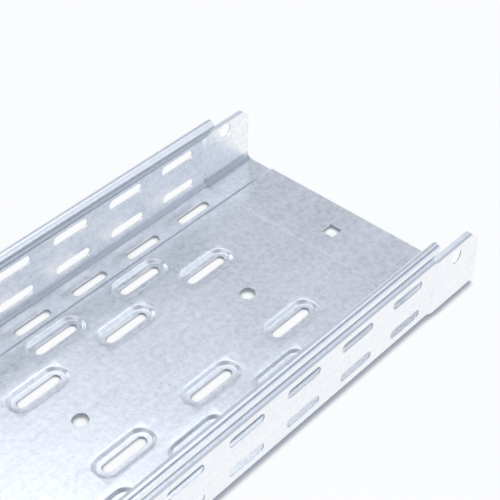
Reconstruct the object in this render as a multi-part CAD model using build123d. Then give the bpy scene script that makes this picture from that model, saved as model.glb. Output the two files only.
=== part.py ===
from build123d import *
import math
import os

# Perforated cable tray, one length of folded steel sheet.
# X runs along the tray, Y across it, Z up. The plain plug-in end is at low X, the socket end at high X.

# overall sizes
total_length = 2000.0
tray_width = 200.0
tray_height = 60.0
sheet = 1.0

# section
foot_radius = 5.0
strip_width = 22.3
ramp_width = 3.0
panel_rise = 1.5
groove_start = 48.0
groove_depth = 3.6
groove_lower_flank = 0.8
groove_flat = 0.8
groove_upper_flank = 5.0
roll_radius = 3.6
roll_turn = 215.0

# socket, widened by one sheet thickness so that the plain end of the next length slides in
socket_length = 50.0
joggle_length = 6.0
socket_corner = 10.0
roll_setback = 7.0

# slots
slot_length = 30.0
slot_width = 7.2
panel_slot_length = 34.5
stated_columns = 2
wall_pitch = 50.0
panel_pitch = 75.0
upper_row_height = 37.5
lower_row_height = 12.5
wall_slot_from_seam = 25.0
edge_slot_from_seam = 100.0
mid_slot_from_seam = 62.5
plain_end_margin = 60.0
strip_row = 15.0
edge_row = 37.0
mid_row = 62.5

# holes
centre_hole = 11.0
centre_hole_pitch = 150.0
centre_hole_from_seam = 62.5
end_fixing = 25.0
wall_hole = 11.0
square_hole = 10.0
lance_radius = 8.0
lance_slit = 1.2
lance_row = 37.0

half_width = tray_width / 2
working_length = total_length - socket_length
plain_end = -total_length / 2
roll_centre = tray_height - roll_radius
seam = plain_end + working_length
socket_end = seam + socket_length
floor_level = sheet
groove_top = groove_start + groove_lower_flank


def mitre(before, corner, after, gap):
    one = Vector(corner[0] - before[0], corner[1] - before[1]).normalized()
    two = Vector(after[0] - corner[0], after[1] - corner[1]).normalized()
    share = gap / (1 + one.X * two.X + one.Y * two.Y)
    return (corner[0] - share * (one.Y + two.Y), corner[1] + share * (one.X + two.X))


def corner_points(gap, step):
    wall = half_width + step
    low = floor_level - step
    groove_inside = wall - groove_depth
    groove_flat_end = groove_top + groove_flat
    groove_end = groove_flat_end + groove_upper_flank
    path = [
        (0, low + panel_rise),
        (wall - strip_width - ramp_width, low + panel_rise),
        (wall - strip_width, low),
        (wall - foot_radius, low),
        (wall, low + foot_radius),
        (wall, groove_start),
        (groove_inside, groove_top),
        (groove_inside, groove_flat_end),
        (wall, groove_end),
        (wall, roll_centre),
    ]
    moved = [mitre(path[i - 1], path[i], path[i + 1], gap) for i in (1, 2)]
    moved.append((wall - foot_radius, low + gap))
    moved.append((wall - gap, low + foot_radius))
    moved += [mitre(path[i - 1], path[i], path[i + 1], gap) for i in (5, 6, 7, 8)]
    moved.append((wall - gap, roll_centre))
    return moved


def half_edges(gap, step, rolled):
    points = corner_points(gap, step)
    wall = half_width + step
    low = floor_level - step
    turn = math.radians(45)
    foot = (wall - foot_radius, low + foot_radius)
    reach = foot_radius - gap
    foot_mid = (foot[0] + reach * math.sin(turn), foot[1] - reach * math.cos(turn))
    edges = [
        [points[0], points[1]],
        [points[1], points[2]],
        [points[2], foot_mid, points[3]],
        [points[3], points[4]],
        [points[4], points[5]],
    ]
    if rolled:
        edges += [[points[i], points[i + 1]] for i in (5, 6, 7)]
        reach = roll_radius - gap
        half = math.radians(roll_turn / 2)
        full = math.radians(roll_turn)
        centre = (wall - roll_radius, roll_centre)
        middle = (centre[0] + reach * math.cos(half), centre[1] + reach * math.sin(half))
        last = (centre[0] + reach * math.cos(full), centre[1] + reach * math.sin(full))
        edges.append([points[8], middle, last])
    return edges


def section_wire(x, step, rolled):
    outer = half_edges(0, step, rolled)
    inner = [edge[::-1] for edge in half_edges(sheet, step, rolled)[::-1]]
    right = outer + [[outer[-1][-1], inner[0][0]]] + inner
    left = [[(-p[0], p[1]) for p in edge[::-1]] for edge in right[::-1]]
    inner_span = [[right[-1][-1], left[0][0]]]
    outer_span = [[left[-1][-1], right[0][0]]]
    edges = []
    for edge in right + inner_span + left + outer_span:
        ends = [Vector(x, p[0], p[1]) for p in edge]
        if len(ends) == 2:
            edges.append(Edge.make_line(ends[0], ends[1]))
        else:
            edges.append(Edge.make_three_point_arc(ends[0], ends[1], ends[2]))
    return Wire(edges)


def between(start, end, step, rolled):
    face = Face(section_wire(start, step, rolled))
    return Solid.extrude(face, Vector(end - start, 0, 0))


def slot_face(length, width):
    # each round end is three chords that touch its arc, so length and width stay exact
    cut = width / 2 * (1 - math.tan(math.radians(22.5)))
    end = length / 2
    side = width / 2
    right = [(end - cut, -side), (end, cut - side), (end, side - cut), (end - cut, side)]
    left = [(-x, -y) for x, y in right]
    return Polygon(*(right + left), align=None)


def slots_along(columns):
    # the slots that fasten the tray beside its socket have true round ends
    plain = slot_face(slot_length, slot_width)
    fastening = SlotOverall(slot_length, slot_width)
    return [(c, fastening if i < stated_columns else plain) for i, c in enumerate(columns)]


def columns_back(from_seam, pitch):
    # positions counted back from the seam, as far as the plain end's margin
    room = working_length - plain_end_margin - from_seam
    count = int(room / pitch + 1e-6) + 1
    return [seam - from_seam - pitch * i for i in range(count)]


# sheet body, from the plain end through the joggle to the socket
body = between(plain_end, seam, 0, True)
joggle_wires = [
    section_wire(seam, 0, True),
    section_wire(seam + joggle_length, sheet, True),
]
joggle = Solid.make_loft(joggle_wires, ruled=True)
socket = between(seam + joggle_length, socket_end, sheet, False)
tray = body.fuse(joggle, socket)

# the rolled rim stands back from the plain end, and the socket's upper corners are cut off
setback = Pos(plain_end, 0, tray_height) * Box(
    2 * roll_setback, 2 * tray_width, 2 * (tray_height - groove_top)
)
corner = Polygon(
    (socket_end - socket_corner, groove_top + 1),
    (socket_end - socket_corner, groove_top),
    (socket_end, groove_top - socket_corner),
    (socket_end + 1, groove_top + 1),
    align=None,
)
corners = extrude(Plane.XZ * corner, amount=tray_width, both=True)
tray = tray.cut(setback, corners)

# wall slots and wall fixing holes, cut through both walls at once
wall_columns = columns_back(wall_slot_from_seam, wall_pitch)
wall_tools = []
for column, slot in slots_along(wall_columns):
    for height in (upper_row_height, lower_row_height):
        place = Plane.XZ * Pos(column, height + floor_level)
        wall_tools.append(extrude(place * slot, amount=tray_width, both=True))
for along in (plain_end + end_fixing, seam + end_fixing):
    place = Plane.XZ * Pos(along, upper_row_height + floor_level)
    wall_tools.append(extrude(place * Circle(wall_hole / 2), amount=tray_width, both=True))

# base slots in six rows, centre holes and end fixings
base_cut = floor_level + panel_rise + 2 * sheet
edge_columns = columns_back(edge_slot_from_seam, panel_pitch)
mid_columns = columns_back(mid_slot_from_seam, panel_pitch)
panel_slot = slot_face(panel_slot_length, slot_width)
base_spots = [(c, half_width - strip_row, slot) for c, slot in slots_along(wall_columns)]
base_spots += [(c, half_width - edge_row, panel_slot) for c in edge_columns]
base_spots += [(c, half_width - mid_row, panel_slot) for c in mid_columns]
base_tools = []
for column, row, slot in base_spots:
    for side in (1, -1):
        place = Pos(column, side * row, -sheet)
        base_tools.append(extrude(place * slot, amount=base_cut))
for column in columns_back(centre_hole_from_seam, centre_hole_pitch):
    place = Pos(column, 0, -sheet)
    base_tools.append(extrude(place * Circle(centre_hole / 2), amount=base_cut))
for along in (plain_end + end_fixing, seam + end_fixing):
    place = Pos(along, 0, -sheet)
    base_tools.append(extrude(place * Rectangle(square_hole, square_hole), amount=base_cut))
lance = Circle(lance_radius) - Circle(lance_radius - lance_slit)
lance &= Pos(0, lance_radius) * Rectangle(2 * lance_radius, 2 * lance_radius)
for side in (1, -1):
    place = Pos(plain_end + end_fixing, side * (half_width - lance_row), -sheet)
    base_tools.append(extrude(place * lance, amount=base_cut))

tray = tray - wall_tools
tray = tray - base_tools

os.makedirs("parts", exist_ok=True)
export_step(tray, "parts/cable_tray.step")
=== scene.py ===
"""A perforated cable tray: one length of galvanised sheet with slots, rolled rims and a socket."""
import bmesh
import bpy
import math
from mathutils import Matrix, Vector
from mathutils.geometry import delaunay_2d_cdt
from mathutils.kdtree import KDTree


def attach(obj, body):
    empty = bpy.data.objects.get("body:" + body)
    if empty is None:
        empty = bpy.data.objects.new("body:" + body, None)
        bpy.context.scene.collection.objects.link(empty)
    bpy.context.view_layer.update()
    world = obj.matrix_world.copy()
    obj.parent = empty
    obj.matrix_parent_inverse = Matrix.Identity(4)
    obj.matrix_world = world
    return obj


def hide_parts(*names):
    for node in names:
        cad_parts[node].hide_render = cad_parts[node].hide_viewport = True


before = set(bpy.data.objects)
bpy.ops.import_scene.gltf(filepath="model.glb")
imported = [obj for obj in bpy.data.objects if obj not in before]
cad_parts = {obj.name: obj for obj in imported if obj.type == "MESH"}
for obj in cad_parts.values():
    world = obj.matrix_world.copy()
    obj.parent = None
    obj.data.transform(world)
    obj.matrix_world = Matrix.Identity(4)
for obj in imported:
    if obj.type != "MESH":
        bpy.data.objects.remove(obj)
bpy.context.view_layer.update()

# A millimetre in metres, and sizes in millimetres. X is counted from the seam, where the socket begins.
MM = 0.001
TOTAL_LENGTH = 2000.0
SOCKET_END = 50.0
PLAIN_END = SOCKET_END - TOTAL_LENGTH
SEAM_X = TOTAL_LENGTH / 2 - SOCKET_END
HALF_WIDTH = 100.0
HEIGHT = 60.0
SHEET = 1.0
JOGGLE = 6.0
CORNER_CUT = 10.0
ROLL_SETBACK = 7.0

# The section. The base stands one sheet thickness high, because the socket drops by that much.
FLOOR = SHEET
PANEL_RISE = 1.5
STRIP = 22.3
RAMP = 3.0
FOOT_RADIUS = 5.0
GROOVE_START = 48.0
GROOVE_DEPTH = 3.6
LEDGE_END = GROOVE_START + 0.8
WEB_END = LEDGE_END + 0.8
FLANK_END = WEB_END + 5.0
ROLL_RADIUS = 3.6
ROLL_CENTRE = HEIGHT - ROLL_RADIUS
ROLL_TURN = 215.0
RIM_LINE = 0.5

# Slots and holes: their sizes, rows, pitches and the first place of each row back from the seam.
SLOT = (30.0, 7.2)
PANEL_SLOT = (34.5, 7.2)
ROUND_HOLE = (11.0, 11.0)
SQUARE_HOLE = 10.0
LANCE_RADIUS = 8.0
LANCE_SLIT = 1.2
UPPER_ROW = FLOOR + 37.5
LOWER_ROW = FLOOR + 12.5
STRIP_ROW = HALF_WIDTH - 15.0
EDGE_ROW = HALF_WIDTH - 37.0
MID_ROW = HALF_WIDTH - 62.5
WALL_PITCH = 50.0
PANEL_PITCH = 75.0
CENTRE_PITCH = 150.0
WALL_FROM_SEAM = 25.0
EDGE_FROM_SEAM = 100.0
MID_FROM_SEAM = 62.5
PLAIN_END_MARGIN = 60.0
END_FIXING = 25.0

# Where the panel's centre, middle and edge stretches meet, the mesh's spacing along them,
# and how near to each other two corners are joined.
CENTRE_EDGE = 26.0
MID_EDGE = 49.0
GRID = 12.5
WELD = 0.02

# Each ring round a hole: how far out from its edge, and the heights of the outer and inner faces there.
PUNCHED = [(0.0, 0.08, 0.8), (0.22, 0.0, 1.0)]
PRESSED = [
    (0.0, -2.2, -1.25),
    (0.25, -2.0, -1.0),
    (3.0, -1.95, -0.98),
    (3.5, -1.8, -0.84),
    (4.1, -1.35, -0.4),
    (4.9, -0.65, 0.32),
    (5.5, -0.22, 0.78),
    (6.2, 0.0, 1.0),
]

# Colours of the sheet, from the dark to the bright side of its mottling.
ZINC_TONES = [
    (0.38, (0.69, 0.712, 0.755, 1)),
    (0.5, (0.80, 0.818, 0.85, 1)),
    (0.62, (0.91, 0.92, 0.94, 1)),
]
# Painted shade: the darker zinc drawn along the folds, under the rim and in the groove.
FOLD_SHADE_ZINC = (0.30, 0.335, 0.39, 1)
# The cut edges: bare steel, darker than the zinc, and drawn darker still as painted shade in the holes.
CUT_STEEL_AND_SHADE = (0.12, 0.14, 0.18, 1)

# The camera stands beside the tray and looks towards the socket: metres, degrees and millimetres.
CAMERA_PLACE = (0.383, -0.44312, 0.63063)
CAMERA_TURN = (48.7271, -0.5978, -48.2890)
LENS = 100.3925


# Node trees


class Value:
    """An output of a node. Arithmetic on it adds Math nodes."""

    def __init__(self, nodes, socket):
        self.nodes = nodes
        self.socket = socket

    def maths(self, operation, other, swap=False):
        first, second = (other, self) if swap else (self, other)
        return self.nodes.node("ShaderNodeMath", {"operation": operation}, {0: first, 1: second})

    def __add__(self, other):
        return self.maths("ADD", other)

    __radd__ = __add__

    def __sub__(self, other):
        return self.maths("SUBTRACT", other)

    def __rsub__(self, other):
        return self.maths("SUBTRACT", other, swap=True)

    def __mul__(self, other):
        return self.maths("MULTIPLY", other)

    __rmul__ = __mul__

    def at_least(self, other):
        return self.maths("MAXIMUM", other)


class Nodes:
    """A node tree that is written as expressions."""

    def __init__(self, tree):
        self.tree = tree
        tree.nodes.clear()

    def node(self, kind, settings=None, values=None, out=0):
        """Adds a node. "stops" are a colour ramp's stops. A list puts all its values on one socket."""
        made = self.tree.nodes.new(kind)
        for key, value in (settings or {}).items():
            if key == "stops":
                self.colour_stops(made.color_ramp, value)
            else:
                setattr(made, key, value)
        for key, value in (values or {}).items():
            for one in value if isinstance(value, list) else [value]:
                if isinstance(one, Value):
                    self.tree.links.new(one.socket, made.inputs[key])
                else:
                    made.inputs[key].default_value = one
        return Value(self, made.outputs[out]) if made.outputs else None

    def colour_stops(self, ramp, stops):
        while len(ramp.elements) < len(stops):
            ramp.elements.new(0.5)
        for element, (place, colour) in zip(ramp.elements, stops):
            element.position = place
            element.color = colour

    def axis(self, vector, name):
        return self.node("ShaderNodeSeparateXYZ", values={0: vector}, out=name)

    def noise(self, place, scale, detail, stretch=(1, 1, 1)):
        mapped = self.node("ShaderNodeMapping", values={"Vector": place, "Scale": stretch})
        values = {"Vector": mapped, "Scale": scale, "Detail": detail}
        return self.node("ShaderNodeTexNoise", values=values)

    def ramp(self, value, start, end, low=0.0, high=1.0, smooth=False):
        """Runs from low at start to high at end."""
        if start > end:
            start, end, low, high = end, start, high, low
        settings = {"interpolation_type": "SMOOTHSTEP" if smooth else "LINEAR"}
        span = {"From Min": start, "From Max": end, "To Min": low, "To Max": high}
        return self.node("ShaderNodeMapRange", settings, {"Value": value, **span})

    def soft(self, value, start, end):
        """Rises smoothly from 0 at start to 1 at end."""
        return self.ramp(value, start, end, smooth=True)

    def band(self, value, rise, fall):
        """Is 1 between two soft edges. Each edge is given from its 0 to its 1."""
        return self.soft(value, *rise) * self.soft(value, *fall)

    def mix(self, factor, first, second):
        settings = {"data_type": "RGBA", "blend_type": "MIX"}
        return self.node("ShaderNodeMix", settings, {0: factor, 6: first, 7: second}, out=2)


# Finishes


def new_finish(name):
    material = bpy.data.materials.new(name)
    material.use_nodes = True
    return material, Nodes(material.node_tree)


def painted_fold_shade(nodes, height, across, inner):
    """Painted shade along the folds: how much darker the zinc is drawn there, on the inner side and on the
    outer side.
    """
    depth = HALF_WIDTH - across
    # inside: painted shade on the sheltered side under the rolled rim, in the foot, and in the crease
    # beside the panel
    under_edge, roll_edge = GROOVE_START - 1.4, ROLL_CENTRE + 1.3
    under = nodes.band(height, (under_edge, under_edge + 0.4), (roll_edge, roll_edge - 1.0))
    under = under * nodes.soft(depth, 1.2, 2.0)
    foot = nodes.soft(depth, 4.4, 2.6) * nodes.soft(height, FLOOR + 8.5, FLOOR + 0.2)
    crease = nodes.band(depth, (STRIP - 1.1, STRIP - 0.1), (STRIP + 1.1, STRIP + 0.3))
    crease = crease * nodes.soft(height, FLOOR + 5.0, FLOOR + 4.0)
    # outside: the roll a little darker overall, and painted shade along its fine line and its curled edge,
    # and on the ledge and the web of the groove
    rolled = nodes.soft(height, ROLL_CENTRE - 0.2, ROLL_CENTRE + 1.1)
    line = nodes.band(height, (HEIGHT - 1.6, HEIGHT - 1.2), (HEIGHT - 0.4, HEIGHT - 0.8))
    line = line * nodes.soft(depth, 2.4, 2.1)
    curl = nodes.soft(depth, 4.2, 4.7) * under
    ledge = nodes.band(height, (GROOVE_START - 1.6, GROOVE_START - 1.1), (GROOVE_START + 0.4, GROOVE_START))
    ledge = ledge * nodes.soft(depth, 1.0, 0.7)
    web = nodes.band(height, (GROOVE_START + 0.3, GROOVE_START + 0.6), (WEB_END + 1.6, WEB_END + 0.4))
    back = GROOVE_DEPTH
    web = web * nodes.band(depth, (back - 1.4, back - 0.5), (back + 0.5, back + 0.2))
    inner_shade = 0.75 * under + 0.9 * foot + 0.55 * crease
    outer_shade = 0.1 * rolled + 0.42 * line + 0.7 * curl + 0.65 * ledge + 0.65 * web
    return inner * inner_shade + (1 - inner) * outer_shade


def galvanised_sheet():
    """Mottled zinc, calmer on the outer side, with painted shade along the folds and dark cut edges, bare
    steel with painted shade.
    """
    material, nodes = new_finish("galvanised_sheet")
    place = nodes.node("ShaderNodeTexCoord", out="Object")
    height = nodes.axis(place, "Z") * (1 / MM)
    across = nodes.axis(place, "Y") * (1 / MM)
    across = nodes.node("ShaderNodeMath", {"operation": "ABSOLUTE"}, {0: across})
    inner = nodes.node("ShaderNodeAttribute", {"attribute_name": "inner_side"}, out="Fac")
    cut = nodes.node("ShaderNodeAttribute", {"attribute_name": "cut_edge"}, out="Fac")
    grain = nodes.noise(place, 1100.0, 2.0)
    mottle = nodes.noise(place, 260.0, 3.0)
    cloud = nodes.noise(place, 22.0, 2.0)
    streak = nodes.noise(place, 160.0, 2.0, stretch=(0.06, 1, 1))
    tone = 0.4 * mottle + 0.35 * grain + 0.12 * cloud + 0.13 * streak
    tone = (tone - 0.5) * (0.5 + 0.5 * inner) + 0.5
    zinc = nodes.node("ShaderNodeValToRGB", {"stops": ZINC_TONES}, {0: tone})
    # painted shade: the folds, the underside of the roll and the groove are drawn in the darker zinc
    colour = nodes.mix(painted_fold_shade(nodes, height, across, inner), zinc, FOLD_SHADE_ZINC)
    # painted shade: the cut edges are drawn darker in the base, where the holes are in shade
    in_base = nodes.soft(height, FLOOR + 5.5, FLOOR + 3.0)
    colour = nodes.mix(cut * (0.3 + 0.65 * in_base), colour, CUT_STEEL_AND_SHADE)
    roughness = nodes.ramp(0.6 * mottle + 0.4 * cloud, 0.0, 1.0, 0.22, 0.36)
    relief = {"Strength": 0.16, "Distance": 0.0004, "Height": 0.7 * grain + 0.3 * mottle}
    bump = nodes.node("ShaderNodeBump", values=relief)
    values = {"Base Color": colour, "Roughness": roughness, "Metallic": 0.93, "Normal": bump}
    surface = nodes.node("ShaderNodeBsdfPrincipled", values=values)
    nodes.node("ShaderNodeOutputMaterial", values={"Surface": surface})
    return material


def pale_floor():
    """White to the camera and in the metal, but in its own shade where the tray shelters it."""
    material, nodes = new_finish("pale_floor")
    seen = nodes.node("ShaderNodeLightPath", out="Is Camera Ray")
    mirrored = nodes.node("ShaderNodeLightPath", out="Is Glossy Ray")
    openness = nodes.node("ShaderNodeAmbientOcclusion", {"samples": 12}, {"Distance": 0.006}, out="AO")
    clear = nodes.soft(openness, 0.45, 0.85)
    shaded = nodes.node("ShaderNodeBsdfDiffuse", values={"Color": (0.42, 0.45, 0.5, 1)})
    white = nodes.node("ShaderNodeEmission", values={"Color": (1, 1, 1, 1), "Strength": 1.12})
    factor = 0.8 * seen * clear + mirrored
    surface = nodes.node("ShaderNodeMixShader", values={0: factor, 1: shaded, 2: white})
    nodes.node("ShaderNodeOutputMaterial", values={"Surface": surface})
    return material


# Holes


def outline(spot, size, grow, steps):
    """Points round a slot or a round hole, widened by grow."""
    radius = size[1] / 2 + grow
    middle = (size[0] - size[1]) / 2
    count = steps + 1
    if middle == 0:
        angles = [math.pi * (i / count - 0.5) for i in range(2 * count)]
        return [(spot[0] + radius * math.cos(a), spot[1] + radius * math.sin(a)) for a in angles]
    angles = [math.pi * (i / steps - 0.5) for i in range(count)]
    right = [(spot[0] + middle + radius * math.cos(a), spot[1] + radius * math.sin(a)) for a in angles]
    return right + [(2 * spot[0] - x, 2 * spot[1] - y) for x, y in right]


def punched(spot, size):
    return [(outline(spot, size, grow, steps=8), low, high) for grow, low, high in PUNCHED]


def pressed(spot, size):
    return [(outline(spot, size, grow, steps=12), low, high) for grow, low, high in PRESSED]


def square_hole(spot):
    half = SQUARE_HOLE / 2
    corners = [(-half, -half), (half, -half), (half, half), (-half, half)]
    return [([(spot[0] + x, spot[1] + y) for x, y in corners], 0.0, 1.0)]


def lance(spot):
    """A half ring cut through the sheet, open towards low Y."""
    steps = 12

    def arc(radius):
        angles = [math.pi * i / steps for i in range(steps + 1)]
        return [(spot[0] + radius * math.cos(a), spot[1] + radius * math.sin(a)) for a in angles]

    return [(arc(LANCE_RADIUS) + arc(LANCE_RADIUS - LANCE_SLIT)[::-1], 0.0, 1.0)]


# Flat stretches of sheet


def inside(point, polygon):
    found = False
    for (x1, y1), (x2, y2) in zip(polygon, polygon[1:] + polygon[:1]):
        if (y1 > point[1]) != (y2 > point[1]):
            if point[0] < x1 + (point[1] - y1) * (x2 - x1) / (y2 - y1):
                found = not found
    return found


def stations(start, end, pitch):
    """The two ends and every grid line between them."""
    first = math.floor(start / pitch + 1e-6) + 1
    last = math.ceil(end / pitch - 1e-6) - 1
    return [start] + [pitch * i for i in range(first, last + 1)] + [end]


def rectangle(span, across, grids):
    """A border with points on the grid along its lower and its upper side."""
    low = [(x, across[0]) for x in stations(span[0], span[1], grids[0])]
    high = [(x, across[1]) for x in stations(span[0], span[1], grids[1])]
    return low + high[::-1]


def filled(points, border, loops):
    """Triangles between the border and the outermost ring of each hole, by their places in points."""
    used = [i for loop in loops for i in loop]
    rank = {i: k for k, i in enumerate(used)}
    edges = [(rank[loop[i]], rank[loop[(i + 1) % len(loop)]]) for loop in loops for i in range(len(loop))]
    flats = [Vector(points[i][:2]) for i in used]
    verts, _, faces, origin, _, _ = delaunay_2d_cdt(flats, edges, [], 0, 1e-6, True)
    polygons = [[points[i][:2] for i in loop] for loop in loops[1:]]
    kept = []
    for face in faces:
        centre = sum((verts[i] for i in face), Vector((0, 0))) / len(face)
        if inside(centre, border) and not any(inside(centre, polygon) for polygon in polygons):
            kept.append(tuple(used[origin[i][0]] for i in face))
    return kept


def flat(name, border, holes, place):
    """A stretch of sheet with the cut walls of its holes; place puts a point at a height in the sheet."""
    points = [(x, t, 0.0, 1.0) for x, t in border]
    rings = []
    for hole in holes:
        marks = []
        for ring, low, high in hole:
            marks.append(range(len(points), len(points) + len(ring)))
            points += [(x, t, low, high) for x, t in ring]
        rings.append(marks)
    faces = filled(points, border, [range(len(border))] + [marks[-1] for marks in rings])
    walls = []
    for marks in rings:
        for near, far in zip(marks, marks[1:]):
            for i in range(len(near)):
                j = (i + 1) % len(near)
                faces.append((near[i], near[j], far[j], far[i]))
        rim = marks[0]
        walls += [(rim[i], rim[(i + 1) % len(rim)]) for i in range(len(rim))]
    pairs = [(place(x, t, low), place(x, t, high)) for x, t, low, high in points]
    return two_faces(name, pairs, faces, walls)


def two_faces(name, pairs, faces, walls):
    """A mesh of the outer and the inner face of the same stretch, joined along its walls."""
    count = len(pairs)
    verts = [outer for outer, _ in pairs] + [inner for _, inner in pairs]
    sides = [tuple(reversed(face)) for face in faces]
    sides += [tuple(i + count for i in face) for face in faces]
    sides += [(i, j, j + count, i + count) for i, j in walls]
    mesh = bpy.data.meshes.new(name)
    mesh.from_pydata([Vector((SEAM_X + x, y, z)) * MM for x, y, z in verts], [], sides)
    side = mesh.attributes.new("inner_face", "INT", "POINT")
    side.data.foreach_set("value", [0] * count + [1] * count)
    return mesh


def base_place(level):
    return lambda x, t, height: (x, t, level + height)


def wall_place(wall):
    return lambda x, t, height: (x, wall - height, t)


# The section across the tray, and its folded stretches


def fold(before, corner, after, radius, steps):
    """Outer-face points and inward normals round one fold; radius is the outer face's."""
    one = (Vector(corner) - Vector(before)).normalized()
    two = (Vector(after) - Vector(corner)).normalized()
    turn = one.angle_signed(two)
    left = -1 if turn > 0 else 1
    reach = radius * math.tan(abs(turn) / 2)
    normal = Vector((-one.y, one.x))
    centre = Vector(corner) - one * reach + normal * radius * left
    marks = []
    for i in range(steps + 1):
        n = Matrix.Rotation(abs(turn) * i / steps * left, 2) @ normal
        marks.append((centre - n * radius * left, n))
    return marks


def roll_marks():
    """The rolled rim, with closer steps beside its fine line."""
    centre = Vector((HALF_WIDTH - ROLL_RADIUS, ROLL_CENTRE))
    line_angle = 57
    angles = [*range(0, 37, 12), 45, 50, line_angle, 64, 69, 78, *range(90, 187, 12), 200, ROLL_TURN]
    marks = []
    for angle in angles:
        out = Vector((math.cos(math.radians(angle)), math.sin(math.radians(angle))))
        depth = RIM_LINE if angle == line_angle else 0.0
        marks.append((centre + out * (ROLL_RADIUS - depth), -out))
    return marks


def section():
    """The folds of half the section: ramp, foot, lower groove, and the rim with the upper groove."""
    web = HALF_WIDTH - GROOVE_DEPTH
    panel = FLOOR + PANEL_RISE
    # each bend's place, outer radius and steps; the first and the last only give a direction
    bends = [
        ((MID_EDGE, panel), 0.0, 0),
        ((HALF_WIDTH - STRIP - RAMP, panel), 1.0, 3),
        ((HALF_WIDTH - STRIP, FLOOR), 2.0, 3),
        ((HALF_WIDTH, FLOOR), FOOT_RADIUS, 8),
        ((HALF_WIDTH, GROOVE_START), 1.4, 5),
        ((web, LEDGE_END), 0.4, 4),
        ((web, WEB_END), 0.5, 2),
        ((HALF_WIDTH, FLANK_END), 5.0, 3),
        ((HALF_WIDTH, ROLL_CENTRE), 0.0, 0),
    ]
    folds = [
        fold(before[0], corner, after[0], radius, steps)
        for before, (corner, radius, steps), after in zip(bends, bends[1:], bends[2:])
    ]
    return {
        "ramp": folds[0] + folds[1],
        "foot": folds[2],
        "groove": folds[3] + folds[4][:3],
        "rim": folds[4][2:] + folds[5] + folds[6] + roll_marks(),
    }


def grid_faces(rows, columns):
    return [
        (i * columns + j, (i + 1) * columns + j, (i + 1) * columns + j + 1, i * columns + j + 1)
        for i in range(rows - 1)
        for j in range(columns - 1)
    ]


def folded(name, marks, places, cut_start=False):
    """A stretch that follows folded marks; places gives the positions along the tray for each mark."""
    pairs = []
    for point, normal in marks:
        inner = point + normal * SHEET
        pairs += [((x, point.x, point.y), (x, inner.x, inner.y)) for x in places(point)]
    wide = len(pairs) // len(marks)
    ends = [(wide * i, wide * i + wide) for i in range(len(marks) - 1)] if cut_start else []
    return two_faces(name, pairs, grid_faces(len(marks), wide), ends)


# Repeating a stretch along the tray with Geometry Nodes


def repeat_tree():
    """A tree that repeats a stretch back along the tray, on one side or on both."""
    tree = bpy.data.node_groups.new("repeat_along_tray", "GeometryNodeTree")
    sockets = tree.interface
    sockets.new_socket("Stretch", in_out="INPUT", socket_type="NodeSocketGeometry")
    ids = {}
    kinds = {"Count": "Int", "Pitch": "Float", "Both Sides": "Bool", "Finish": "Material"}
    for name, kind in kinds.items():
        ids[name] = sockets.new_socket(name, in_out="INPUT", socket_type="NodeSocket" + kind).identifier
    sockets.new_socket("Sheet", in_out="OUTPUT", socket_type="NodeSocketGeometry")
    nodes = Nodes(tree)

    def given(name):
        return nodes.node("NodeGroupInput", out=name)

    offset = nodes.node("ShaderNodeCombineXYZ", values={"X": given("Pitch") * -1.0})
    spacing = {"Count": given("Count"), "Offset": offset}
    line = nodes.node("GeometryNodeMeshLine", {"mode": "OFFSET"}, spacing)
    copies = {"Points": line, "Instance": given("Stretch")}
    placed = nodes.node("GeometryNodeInstanceOnPoints", values=copies)
    real = nodes.node("GeometryNodeRealizeInstances", values={"Geometry": placed})
    mirrored = nodes.node("GeometryNodeTransform", values={"Geometry": real, "Scale": (1, -1, 1)})
    turned = nodes.node("GeometryNodeFlipFaces", values={"Mesh": mirrored})
    both = nodes.node("GeometryNodeJoinGeometry", values={0: [real, turned]})
    choice = {"Switch": given("Both Sides"), "False": real, "True": both}
    chosen = nodes.node("GeometryNodeSwitch", {"input_type": "GEOMETRY"}, choice)
    whole = nodes.node("GeometryNodeRealizeInstances", values={"Geometry": chosen})
    dress = {"Geometry": whole, "Material": given("Finish")}
    dressed = nodes.node("GeometryNodeSetMaterial", values=dress)
    nodes.node("NodeGroupOutput", values={"Sheet": dressed})
    return tree, ids


def evaluated_mesh(thing):
    return bpy.data.meshes.new_from_object(thing.evaluated_get(bpy.context.evaluated_depsgraph_get()))


def repeated(stretch, tree, ids, count, pitch, both_sides, finish):
    thing = bpy.data.objects.new(stretch.name, stretch)
    bpy.context.collection.objects.link(thing)
    repeat = thing.modifiers.new("repeat", "NODES")
    repeat.node_group = tree
    repeat[ids["Count"]] = count
    repeat[ids["Pitch"]] = pitch * MM
    repeat[ids["Both Sides"]] = both_sides
    repeat[ids["Finish"]] = finish
    result = evaluated_mesh(thing)
    bpy.data.objects.remove(thing)
    return result


# The main length. Each stretch is given as its mesh, count, pitch and whether it is on both sides.


def once(mesh):
    return (mesh, 1, 0.0, False)


def each_side(mesh, count=1, pitch=0.0):
    return (mesh, count, pitch, True)


def row(from_seam, pitch):
    """The stretch round the hole nearest the seam, and how many such stretches the row has."""
    span = (-from_seam - pitch / 2, -from_seam + pitch / 2)
    room = -PLAIN_END - PLAIN_END_MARGIN - from_seam
    return span, int(room / pitch) + 1


def end_span(span, count):
    """What a row of stretches leaves at the plain end."""
    return (PLAIN_END, span[1] - count * (span[1] - span[0]))


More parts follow.
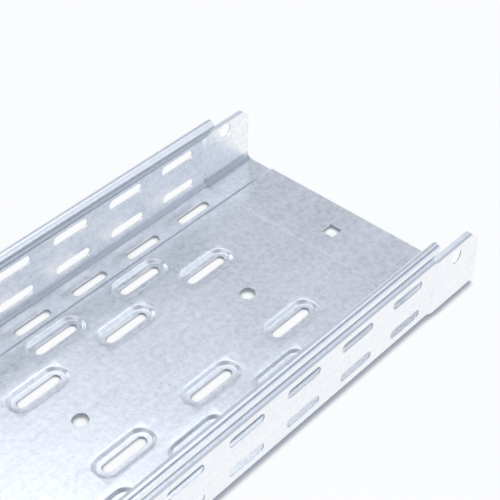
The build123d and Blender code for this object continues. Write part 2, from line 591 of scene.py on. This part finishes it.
def panel_stretches(main):
    """The raised panel: its centre with the round holes, and two rows of pressed slots on each side."""
    ramp_in = main["ramp"][0][0].x
    centre, mid = (-CENTRE_EDGE, CENTRE_EDGE), (CENTRE_EDGE, MID_EDGE)
    edge, far_edge = (MID_EDGE, ramp_in), (-ramp_in, -MID_EDGE)
    fixing = PLAIN_END + END_FIXING

    def piece(name, span, across, holes=()):
        return flat(name, rectangle(span, across, (GRID, GRID)), holes, base_place(FLOOR + PANEL_RISE))

    mid_span, mids = row(MID_FROM_SEAM, PANEL_PITCH)
    edge_span, edges = row(EDGE_FROM_SEAM, PANEL_PITCH)
    plain_span = (mid_span[0] - PANEL_PITCH, mid_span[0])
    centres = row(MID_FROM_SEAM, CENTRE_PITCH)[1]
    mid_end, edge_end = end_span(mid_span, mids), end_span(edge_span, edges)
    centre_hole = punched((-MID_FROM_SEAM, 0), ROUND_HOLE)
    mid_slot = pressed((-MID_FROM_SEAM, MID_ROW), PANEL_SLOT)
    edge_slot = pressed((-EDGE_FROM_SEAM, EDGE_ROW), PANEL_SLOT)
    return [
        (piece("hole_tile", mid_span, centre, [centre_hole]), centres, CENTRE_PITCH, False),
        (piece("plain_tile", plain_span, centre), centres - 1, CENTRE_PITCH, False),
        once(piece("seam_centre", (mid_span[1], 0), centre)),
        once(piece("end_centre", mid_end, centre, [square_hole((fixing, 0))])),
        each_side(piece("mid_slot", mid_span, mid, [mid_slot]), mids, PANEL_PITCH),
        each_side(piece("seam_mid", (mid_span[1], 0), mid)),
        each_side(piece("end_mid", mid_end, mid)),
        each_side(piece("edge_slot", edge_span, edge, [edge_slot]), edges, PANEL_PITCH),
        each_side(piece("seam_edge", (edge_span[1], 0), edge)),
        once(piece("end_edge", edge_end, edge, [lance((fixing, EDGE_ROW))])),
        once(piece("end_far", edge_end, far_edge, [lance((fixing, -EDGE_ROW))])),
    ]


def strip_and_wall_stretches(main):
    """The slotted strips beside the panel, and the walls with their two rows of slots."""
    side = (main["ramp"][-1][0].x, main["foot"][0][0].x)
    upright = (main["foot"][-1][0].y, main["groove"][0][0].y)
    strip, wall = base_place(FLOOR), wall_place(HALF_WIDTH)
    span, count = row(WALL_FROM_SEAM, WALL_PITCH)
    end = end_span(span, count)
    strip_slot = punched((-WALL_FROM_SEAM, STRIP_ROW), SLOT)
    wall_slots = [punched((-WALL_FROM_SEAM, height), SLOT) for height in (UPPER_ROW, LOWER_ROW)]
    end_hole = punched((PLAIN_END + END_FIXING, UPPER_ROW), ROUND_HOLE)
    strip_grids, wall_grids = (GRID, WALL_PITCH), (WALL_PITCH, WALL_PITCH)
    strip_border = rectangle(span, side, strip_grids)
    wall_border = rectangle(span, upright, wall_grids)
    # the rim starts at its setback, so the groove and the wall below it have a point there
    end_border = rectangle(end, upright, wall_grids)
    end_border.insert(3, (PLAIN_END + ROLL_SETBACK, upright[1]))
    return [
        each_side(flat("strip_slot", strip_border, [strip_slot], strip), count, WALL_PITCH),
        each_side(flat("end_strip", rectangle(end, side, strip_grids), [], strip)),
        each_side(flat("wall_slots", wall_border, wall_slots, wall), count, WALL_PITCH),
        each_side(flat("end_wall", end_border, [end_hole], wall)),
    ]


def folded_stretches(main):
    """The ramps, feet, grooves and rims along the main length."""
    span, count = row(WALL_FROM_SEAM, WALL_PITCH)
    start, last = end_span(span, count)
    roll_start = start + ROLL_SETBACK
    grid = stations(span[0], span[1], GRID)
    return [
        each_side(folded("ramp", main["ramp"], lambda point: grid), count + 1, WALL_PITCH),
        each_side(folded("foot", main["foot"], lambda point: span), count + 1, WALL_PITCH),
        each_side(folded("lower_groove", main["groove"], lambda point: span), count, WALL_PITCH),
        each_side(folded("rim", main["rim"], lambda point: span), count, WALL_PITCH),
        each_side(folded("end_groove", main["groove"], lambda point: [start, roll_start, last])),
        each_side(folded("end_rim", main["rim"], lambda point: [roll_start, last], cut_start=True)),
    ]


# The socket, one sheet thickness wider and lower than the main length


def stepped(point, normal, step, share=1.0):
    """A mark of the section moved out and down for the socket."""
    out = step * share if point.x > MID_EDGE else 0.0
    down = step if point.y < FLOOR + FOOT_RADIUS else 0.0
    return (Vector((point.x + out, point.y - down)), normal)


def joggled(name, marks, shares, cut_end=False):
    """A stretch of the joggle, where the sheet eases out and down by its own thickness."""
    count = 6
    eases = [SHEET * (3 * (i / count) ** 2 - 2 * (i / count) ** 3) for i in range(count + 1)]
    pairs = []
    for (point, normal), share in zip(marks, shares):
        for i, step in enumerate(eases):
            moved, n = stepped(point, normal, step, share)
            inner = moved + n * SHEET
            x = JOGGLE * i / count
            pairs.append(((x, moved.x, moved.y), (x, inner.x, inner.y)))
    wide = count + 1
    ends = [(wide * i + count, wide * i + wide + count) for i in range(len(marks) - 1)] if cut_end else []
    return two_faces(name, pairs, grid_faces(len(marks), wide), ends)


def joggle_stretches(main):
    up = Vector((0, 1))
    level = FLOOR + PANEL_RISE
    centre = [(Vector((y, level)), up) for y in (-CENTRE_EDGE, CENTRE_EDGE)]
    mid = [(Vector((y, level)), up) for y in (CENTRE_EDGE, MID_EDGE)]
    half = mid + main["ramp"] + main["foot"] + main["groove"]
    # the rim doesn't follow the socket: its share of the step fades out up the groove
    fade_steps = 8
    fading = [max(0.0, 1 - i / fade_steps) for i in range(len(main["rim"]))]
    return [
        once(joggled("joggle_centre", centre, [1.0] * len(centre))),
        each_side(joggled("joggle_half", half, [1.0] * len(half))),
        each_side(joggled("joggle_rim", main["rim"], fading, cut_end=True)),
    ]


def socket_stretches(main):
    wide = {key: [stepped(*mark, SHEET) for mark in main[key]] for key in ("ramp", "foot", "groove")}
    ramp_in, ramp_out = wide["ramp"][0][0].x, wide["ramp"][-1][0].x
    foot_in, foot_up = wide["foot"][0][0].x, wide["foot"][-1][0].y
    wall_top = wide["groove"][0][0].y
    cut = LEDGE_END - CORNER_CUT

    def end_at(height):
        return SOCKET_END - max(0.0, height - cut)

    wall_border = [
        (JOGGLE, foot_up),
        (SOCKET_END, foot_up),
        (SOCKET_END, cut),
        (end_at(wall_top), wall_top),
        (JOGGLE, wall_top),
    ]
    span = (JOGGLE, SOCKET_END)
    # a pitch too wide to put a point between the socket's ends
    whole = (TOTAL_LENGTH, TOTAL_LENGTH)
    panel, strip = base_place(FLOOR + PANEL_RISE - SHEET), base_place(FLOOR - SHEET)
    wall_hole = punched((END_FIXING, UPPER_ROW), ROUND_HOLE)
    centre_border = rectangle(span, (-CENTRE_EDGE, CENTRE_EDGE), whole)
    return [
        once(flat("socket_centre", centre_border, [square_hole((END_FIXING, 0))], panel)),
        each_side(flat("socket_mid", rectangle(span, (CENTRE_EDGE, MID_EDGE), whole), [], panel)),
        each_side(flat("socket_edge", rectangle(span, (MID_EDGE, ramp_in), whole), [], panel)),
        each_side(folded("socket_ramp", wide["ramp"], lambda point: span)),
        each_side(flat("socket_strip", rectangle(span, (ramp_out, foot_in), whole), [], strip)),
        each_side(folded("socket_foot", wide["foot"], lambda point: span)),
        each_side(flat("socket_wall", wall_border, [wall_hole], wall_place(HALF_WIDTH + SHEET))),
        each_side(folded("socket_groove", wide["groove"], lambda point: [JOGGLE, end_at(point.y)])),
    ]


# The whole tray


def close_free_edges(bm):
    """Joins the outer face to the inner one along every free edge of the sheet."""
    side = bm.verts.layers.int["inner_face"]
    free = [edge for edge in bm.edges if edge.is_boundary]
    inner = list({v for edge in free for v in edge.verts if v[side] == 1})
    tree = KDTree(len(inner))
    for i, vert in enumerate(inner):
        tree.insert(vert.co, i)
    tree.balance()
    for edge in free:
        a, b = edge.verts
        if a[side] == 0 and b[side] == 0:
            bm.faces.new((a, b, inner[tree.find(b.co)[1]], inner[tree.find(a.co)[1]]))


def joined_sheet(finish):
    """One closed mesh of all the stretches."""
    tree, ids = repeat_tree()
    main = section()
    stretches = panel_stretches(main) + strip_and_wall_stretches(main) + folded_stretches(main)
    stretches += joggle_stretches(main) + socket_stretches(main)
    bm = bmesh.new()
    for stretch, count, pitch, both_sides in stretches:
        bm.from_mesh(repeated(stretch, tree, ids, count, pitch, both_sides, finish))
    bmesh.ops.remove_doubles(bm, verts=bm.verts, dist=WELD * MM)
    close_free_edges(bm)
    bmesh.ops.recalc_face_normals(bm, faces=bm.faces)
    mesh = bpy.data.meshes.new("tray_sheet")
    bm.to_mesh(mesh)
    bm.free()
    return mesh


def mark_faces(mesh):
    """Writes on each face whether it is on the inner side, and how dark it is drawn as a cut edge: bare
    steel, with painted shade.
    """
    inner = mesh.attributes["inner_face"].data
    sides = [{inner[i].value for i in face.vertices} for face in mesh.polygons]
    mesh.attributes.remove(mesh.attributes["inner_face"])
    # painted shade: a cut that faces along the tray is drawn darker than one that faces across it, towards
    # the side light
    cuts = [
        min(1.0, 0.45 + 0.8 * abs(face.normal.x)) if side == {0, 1} else 0.0
        for side, face in zip(sides, mesh.polygons)
    ]
    mesh.attributes.new("cut_edge", "FLOAT", "FACE").data.foreach_set("value", cuts)
    inner_side = [float(side == {1}) for side in sides]
    mesh.attributes.new("inner_side", "FLOAT", "FACE").data.foreach_set("value", inner_side)


def build_tray(finish):
    mesh = joined_sheet(finish)
    mark_faces(mesh)
    mesh.materials.clear()
    mesh.materials.append(finish)
    mesh.shade_smooth()
    mesh.set_sharp_from_angle(angle=math.radians(38))
    tray = bpy.data.objects.new("tray_sheet", mesh)
    bpy.context.collection.objects.link(tray)
    weighted = tray.modifiers.new("weighted", "WEIGHTED_NORMAL")
    weighted.keep_sharp = True
    tray.data = evaluated_mesh(tray)
    tray.modifiers.clear()
    return tray


# Stage, light and camera


def stage():
    bpy.ops.mesh.primitive_plane_add(size=14, location=(0, 0, 0))
    floor = bpy.context.object
    floor.name = "floor"
    floor.data.materials.append(pale_floor())


def soft_light(name, place, target, size, power):
    lamp = bpy.data.lights.new(name, "AREA")
    lamp.shape = "RECTANGLE"
    lamp.size, lamp.size_y = size
    lamp.energy = power
    thing = bpy.data.objects.new(name, lamp)
    thing.location = place
    thing.rotation_euler = (Vector(target) - Vector(place)).to_track_quat("-Z", "Y").to_euler()
    bpy.context.collection.objects.link(thing)


def studio_room():
    """White to the camera. The metal sees pale walls, a bright right side and a bright window high up."""
    world = bpy.context.scene.world or bpy.data.worlds.new("studio")
    bpy.context.scene.world = world
    world.use_nodes = True
    nodes = Nodes(world.node_tree)
    toward = nodes.node("ShaderNodeTexCoord", out="Generated")
    rise = nodes.axis(toward, "Z")
    walls = nodes.ramp(rise, 0.35, 0.6, 0.88, 0.54)
    right = nodes.ramp(nodes.axis(toward, "Y"), 0.2, -0.2)
    right = right * nodes.ramp(nodes.axis(toward, "X"), 0.05, 0.4)
    heading = {0: toward, 1: (0.85, 0.5, 0)}
    ahead = nodes.node("ShaderNodeVectorMath", {"operation": "DOT_PRODUCT"}, heading, out="Value")
    window = nodes.soft(rise, 0.71, 0.785) * nodes.soft(ahead, 0.18, 0.4)
    strength = walls.at_least(1.12 * right).at_least(1.5 * window)
    glow = {"Color": (0.86, 0.91, 1.0, 1), "Strength": strength}
    room = nodes.node("ShaderNodeBackground", values=glow)
    white = nodes.node("ShaderNodeBackground", values={"Color": (1, 1, 1, 1)})
    seen = nodes.node("ShaderNodeLightPath", out="Is Camera Ray")
    surface = nodes.node("ShaderNodeMixShader", values={0: seen, 1: room, 2: white})
    nodes.node("ShaderNodeOutputWorld", values={"Surface": surface})


def lights():
    studio_room()
    soft_light("ceiling", (0.45, 0.55, 1.9), (0.6, 0.05, 0), (2.8, 1.8), 8)
    soft_light("side_light", (0.5, -2.0, 0.75), (0.6, 0, 0), (2.0, 1.0), 16)


def camera():
    lens = bpy.data.cameras.new("camera")
    lens.sensor_width = 36.0
    lens.lens = LENS
    lens.clip_start = 0.01
    lens.clip_end = 50
    thing = bpy.data.objects.new("camera", lens)
    thing.location = CAMERA_PLACE
    thing.rotation_euler = [math.radians(angle) for angle in CAMERA_TURN]
    bpy.context.collection.objects.link(thing)
    bpy.context.scene.camera = thing


tray = build_tray(galvanised_sheet())
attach(tray, "root")
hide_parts("cable_tray")
stage()
lights()
camera()
bpy.context.scene.view_settings.view_transform = "Standard"
